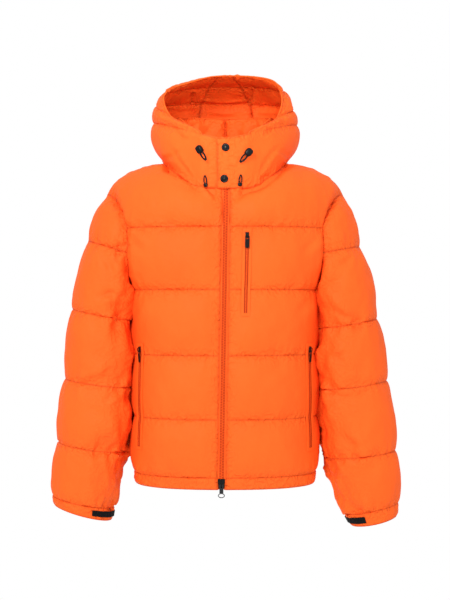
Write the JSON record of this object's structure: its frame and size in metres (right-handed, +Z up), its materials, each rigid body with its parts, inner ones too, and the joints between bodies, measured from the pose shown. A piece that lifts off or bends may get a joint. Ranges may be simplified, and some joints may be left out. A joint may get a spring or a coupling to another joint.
{
  "type": "hooded quilted puffer jacket",
  "caption": "Hooded puffer jacket, filled out as worn: quilted shell, chin flap with snaps, two-way front zip, zipped pockets, cord locks and cuff tabs.",
  "frame": {"origin": "base of the neck, in the middle of the body, where the wearer's shoulders carry the jacket", "axes": "+Z up, the front faces -Y, +X is the wearer's left"},
  "size_m": [0.7325, 0.3254, 0.9436],
  "materials": {
    "back_cloth": "plain woven shell, slight sheen",
    "pocket_pull": "moulded rubber, satin",
    "pocket_slider": "dark metal",
    "chest_welt": "bonded welt",
    "pocket_tape": "coated tape",
    "collar_left_cloth": "plain woven shell, slight sheen",
    "collar_right_cloth": "plain woven shell, slight sheen",
    "slider_metal": "gunmetal",
    "collar_tape": "woven tape with moulded chain",
    "toggle": "moulded",
    "cord": "round elastic cord",
    "cuff_left_cloth": "plain woven shell, slight sheen",
    "cuff_right_cloth": "plain woven shell, slight sheen",
    "cuff_tab": "hook-and-loop tape",
    "front_left_cloth": "plain woven shell, slight sheen",
    "front_right_cloth": "plain woven shell, slight sheen",
    "zip_tape": "woven tape with moulded chain",
    "hand_left_welt": "bonded welt",
    "hand_right_welt": "bonded welt",
    "hem_back_cloth": "plain woven shell, slight sheen",
    "hem_front_left_cloth": "plain woven shell, slight sheen",
    "hem_front_right_cloth": "plain woven shell, slight sheen",
    "hood_centre_cloth": "plain woven shell, slight sheen",
    "hood_front_left_cloth": "plain woven shell, slight sheen",
    "hood_front_right_cloth": "plain woven shell, slight sheen",
    "hood_side_left_cloth": "plain woven shell, slight sheen",
    "hood_side_right_cloth": "plain woven shell, slight sheen",
    "sleeve_left_cloth": "plain woven shell, slight sheen",
    "sleeve_right_cloth": "plain woven shell, slight sheen",
    "snap": "satin cap",
    "pull_metal": "silver"
  },
  "bodies": {
    "jacket": {"back": "back_cloth", "chest_slider": "pocket_slider", "chest_welt": "chest_welt", "chest_zip": "pocket_tape", "collar_left": "collar_left_cloth", "collar_right": "collar_right_cloth", "collar_slider": "slider_metal", "collar_zip": "collar_tape", "cord_end_left": "toggle", "cord_end_left_loop": "cord", "cord_end_right": "toggle", "cord_end_right_loop": "cord", "cuff_left": "cuff_left_cloth", "cuff_right": "cuff_right_cloth", "cuff_tab_left": "cuff_tab", "cuff_tab_right": "cuff_tab", "front_left": "front_left_cloth", "front_right": "front_right_cloth", "front_zip": "zip_tape", "hand_left_slider": "pocket_slider", "hand_left_welt": "hand_left_welt", "hand_left_zip": "pocket_tape", "hand_right_slider": "pocket_slider", "hand_right_welt": "hand_right_welt", "hand_right_zip": "pocket_tape", "hem_back": "hem_back_cloth", "hem_front_left": "hem_front_left_cloth", "hem_front_right": "hem_front_right_cloth", "hood_centre": "hood_centre_cloth", "hood_front_left": "hood_front_left_cloth", "hood_front_right": "hood_front_right_cloth", "hood_side_left": "hood_side_left_cloth", "hood_side_right": "hood_side_right_cloth", "lock_left": "toggle", "lock_left_loop": "cord", "lock_right": "toggle", "lock_right_loop": "cord", "sleeve_left": "sleeve_left_cloth", "sleeve_right": "sleeve_right_cloth", "snap_lower": "snap", "snap_upper": "snap", "zip_slider": "slider_metal"},
    "chest_pull": {"chest_pull": "pocket_pull"},
    "hand_left_pull": {"hand_left_pull": "pocket_pull"},
    "hand_right_pull": {"hand_right_pull": "pocket_pull"},
    "zip_pull": {"zip_pull": "pull_metal"}
  },
  "joints": [
    {"name": "chest_pull_hinge", "type": "hinge", "parent": "jacket", "child": "chest_pull", "pos_m": [0.04445, -0.14834, -0.15545], "axis": [-0.9975, -0.0672, 0.0235], "range_deg": [0, 140]},
    {"name": "hand_left_pull_hinge", "type": "hinge", "parent": "jacket", "child": "hand_left_pull", "pos_m": [0.17587, -0.08165, -0.38615], "axis": [-0.521, -0.8535, 0.0084], "range_deg": [0, 140]},
    {"name": "hand_right_pull_hinge", "type": "hinge", "parent": "jacket", "child": "hand_right_pull", "pos_m": [-0.17654, -0.08056, -0.38615], "axis": [-0.5122, 0.8588, -0.002], "range_deg": [0, 140]},
    {"name": "zip_pull_hinge", "type": "hinge", "parent": "jacket", "child": "zip_pull", "pos_m": [-0.00716, -0.14701, -0.65097], "axis": [-1, 0, 0], "range_deg": [0, 140]}
  ]
}
